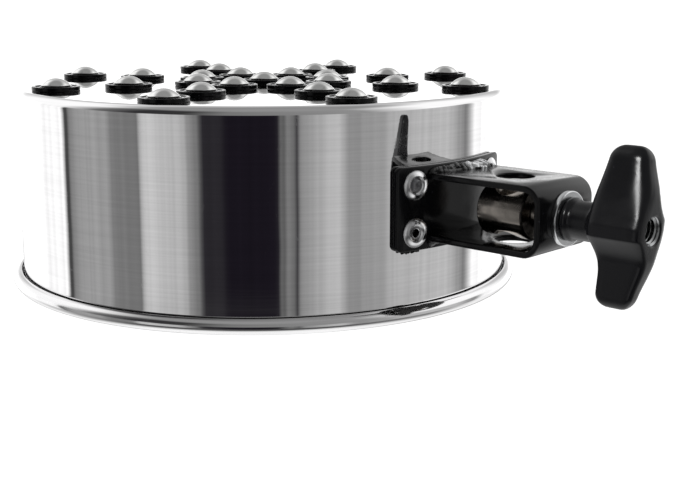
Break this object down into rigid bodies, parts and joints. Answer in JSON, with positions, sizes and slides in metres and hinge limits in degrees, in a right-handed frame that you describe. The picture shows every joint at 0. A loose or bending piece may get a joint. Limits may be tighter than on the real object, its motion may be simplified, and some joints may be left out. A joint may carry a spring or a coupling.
{
  "type": "mountable shaker",
  "caption": "Upturned spun-metal pan with loose dome-headed rivets on washers in a star on its top, and a riveted rod clamp with wing nut on its wall; it rattles when shaken.",
  "frame": {"origin": "middle of the clamp's rod hole, half way between the strap's two arms", "axes": "+Z along the rod hole and parallel to the pan's axis, towards the riveted top; +X outward from the pan along the clamp bolt; the pan's axis is at x = -113 mm"},
  "size_m": [0.2538, 0.1856, 0.0742],
  "materials": {
    "polished_pan": "polished, fine spun lines",
    "satin_rivet": "satin",
    "black_plastic": "glossy",
    "black_paint": "gloss black paint",
    "bright_rivet": "bright, pressed",
    "grey_steel": "dull, broken",
    "bolt_plating": "plated",
    "zinc_steel": "bright zinc",
    "black_casting": "satin black"
  },
  "bodies": {
    "frame": {"pan_shell": "polished_pan", "saddle_plate": "black_paint", "clamp_strap": "black_paint", "strap_welds": "black_paint", "bracket_rivets": "bright_rivet", "rivet_pins": "grey_steel", "bolt_washer": "zinc_steel"},
    "eyebolt": {"eyebolt": "bolt_plating"},
    "wing_nut": {"wing_nut": "black_casting"},
    "rattler_01": {"rattle_rivet_01": "satin_rivet", "pad_washer_01": "black_plastic"},
    "rattler_02": {"rattle_rivet_02": "satin_rivet", "pad_washer_02": "black_plastic"},
    "rattler_03": {"rattle_rivet_03": "satin_rivet", "pad_washer_03": "black_plastic"},
    "rattler_04": {"rattle_rivet_04": "satin_rivet", "pad_washer_04": "black_plastic"},
    "rattler_05": {"rattle_rivet_05": "satin_rivet", "pad_washer_05": "black_plastic"},
    "rattler_06": {"rattle_rivet_06": "satin_rivet", "pad_washer_06": "black_plastic"},
    "rattler_07": {"rattle_rivet_07": "satin_rivet", "pad_washer_07": "black_plastic"},
    "rattler_08": {"rattle_rivet_08": "satin_rivet", "pad_washer_08": "black_plastic"},
    "rattler_09": {"rattle_rivet_09": "satin_rivet", "pad_washer_09": "black_plastic"},
    "rattler_10": {"rattle_rivet_10": "satin_rivet", "pad_washer_10": "black_plastic"},
    "rattler_11": {"rattle_rivet_11": "satin_rivet", "pad_washer_11": "black_plastic"},
    "rattler_12": {"rattle_rivet_12": "satin_rivet", "pad_washer_12": "black_plastic"},
    "rattler_13": {"rattle_rivet_13": "satin_rivet", "pad_washer_13": "black_plastic"},
    "rattler_14": {"rattle_rivet_14": "satin_rivet", "pad_washer_14": "black_plastic"},
    "rattler_15": {"rattle_rivet_15": "satin_rivet", "pad_washer_15": "black_plastic"},
    "rattler_16": {"rattle_rivet_16": "satin_rivet", "pad_washer_16": "black_plastic"},
    "rattler_17": {"rattle_rivet_17": "satin_rivet", "pad_washer_17": "black_plastic"},
    "rattler_18": {"rattle_rivet_18": "satin_rivet", "pad_washer_18": "black_plastic"},
    "rattler_19": {"rattle_rivet_19": "satin_rivet", "pad_washer_19": "black_plastic"},
    "rattler_20": {"rattle_rivet_20": "satin_rivet", "pad_washer_20": "black_plastic"},
    "rattler_21": {"rattle_rivet_21": "satin_rivet", "pad_washer_21": "black_plastic"},
    "rattler_22": {"rattle_rivet_22": "satin_rivet", "pad_washer_22": "black_plastic"},
    "rattler_23": {"rattle_rivet_23": "satin_rivet", "pad_washer_23": "black_plastic"},
    "rattler_24": {"rattle_rivet_24": "satin_rivet", "pad_washer_24": "black_plastic"},
    "rattler_25": {"rattle_rivet_25": "satin_rivet", "pad_washer_25": "black_plastic"}
  },
  "joints": [
    {"name": "nut_turn", "type": "hinge", "parent": "frame", "child": "wing_nut", "pos_m": [0.034, 0, 0], "axis": [-1, 0, 0], "range_deg": [0, 720]},
    {"name": "bolt_pull", "type": "slide", "parent": "frame", "child": "eyebolt", "axis": [1, 0, 0], "range_m": [0, 0.0026]},
    {"name": "rattler_01_hop", "type": "slide", "parent": "frame", "child": "rattler_01", "axis": [0, 0, 1], "range_m": [0, 0.0015]},
    {"name": "rattler_02_hop", "type": "slide", "parent": "frame", "child": "rattler_02", "axis": [0, 0, 1], "range_m": [0, 0.0015]},
    {"name": "rattler_03_hop", "type": "slide", "parent": "frame", "child": "rattler_03", "axis": [0, 0, 1], "range_m": [0, 0.0015]},
    {"name": "rattler_04_hop", "type": "slide", "parent": "frame", "child": "rattler_04", "axis": [0, 0, 1], "range_m": [0, 0.0015]},
    {"name": "rattler_05_hop", "type": "slide", "parent": "frame", "child": "rattler_05", "axis": [0, 0, 1], "range_m": [0, 0.0015]},
    {"name": "rattler_06_hop", "type": "slide", "parent": "frame", "child": "rattler_06", "axis": [0, 0, 1], "range_m": [0, 0.0015]},
    {"name": "rattler_07_hop", "type": "slide", "parent": "frame", "child": "rattler_07", "axis": [0, 0, 1], "range_m": [0, 0.0015]},
    {"name": "rattler_08_hop", "type": "slide", "parent": "frame", "child": "rattler_08", "axis": [0, 0, 1], "range_m": [0, 0.0015]},
    {"name": "rattler_09_hop", "type": "slide", "parent": "frame", "child": "rattler_09", "axis": [0, 0, 1], "range_m": [0, 0.0015]},
    {"name": "rattler_10_hop", "type": "slide", "parent": "frame", "child": "rattler_10", "axis": [0, 0, 1], "range_m": [0, 0.0015]},
    {"name": "rattler_11_hop", "type": "slide", "parent": "frame", "child": "rattler_11", "axis": [0, 0, 1], "range_m": [0, 0.0015]},
    {"name": "rattler_12_hop", "type": "slide", "parent": "frame", "child": "rattler_12", "axis": [0, 0, 1], "range_m": [0, 0.0015]},
    {"name": "rattler_13_hop", "type": "slide", "parent": "frame", "child": "rattler_13", "axis": [0, 0, 1], "range_m": [0, 0.0015]},
    {"name": "rattler_14_hop", "type": "slide", "parent": "frame", "child": "rattler_14", "axis": [0, 0, 1], "range_m": [0, 0.0015]},
    {"name": "rattler_15_hop", "type": "slide", "parent": "frame", "child": "rattler_15", "axis": [0, 0, 1], "range_m": [0, 0.0015]},
    {"name": "rattler_16_hop", "type": "slide", "parent": "frame", "child": "rattler_16", "axis": [0, 0, 1], "range_m": [0, 0.0015]},
    {"name": "rattler_17_hop", "type": "slide", "parent": "frame", "child": "rattler_17", "axis": [0, 0, 1], "range_m": [0, 0.0015]},
    {"name": "rattler_18_hop", "type": "slide", "parent": "frame", "child": "rattler_18", "axis": [0, 0, 1], "range_m": [0, 0.0015]},
    {"name": "rattler_19_hop", "type": "slide", "parent": "frame", "child": "rattler_19", "axis": [0, 0, 1], "range_m": [0, 0.0015]},
    {"name": "rattler_20_hop", "type": "slide", "parent": "frame", "child": "rattler_20", "axis": [0, 0, 1], "range_m": [0, 0.0015]},
    {"name": "rattler_21_hop", "type": "slide", "parent": "frame", "child": "rattler_21", "axis": [0, 0, 1], "range_m": [0, 0.0015]},
    {"name": "rattler_22_hop", "type": "slide", "parent": "frame", "child": "rattler_22", "axis": [0, 0, 1], "range_m": [0, 0.0015]},
    {"name": "rattler_23_hop", "type": "slide", "parent": "frame", "child": "rattler_23", "axis": [0, 0, 1], "range_m": [0, 0.0015]},
    {"name": "rattler_24_hop", "type": "slide", "parent": "frame", "child": "rattler_24", "axis": [0, 0, 1], "range_m": [0, 0.0015]},
    {"name": "rattler_25_hop", "type": "slide", "parent": "frame", "child": "rattler_25", "axis": [0, 0, 1], "range_m": [0, 0.0015]}
  ],
  "couplings": [
    {"joint": "bolt_pull", "follows": "nut_turn", "m_per_rad": 0.00019894}
  ]
}
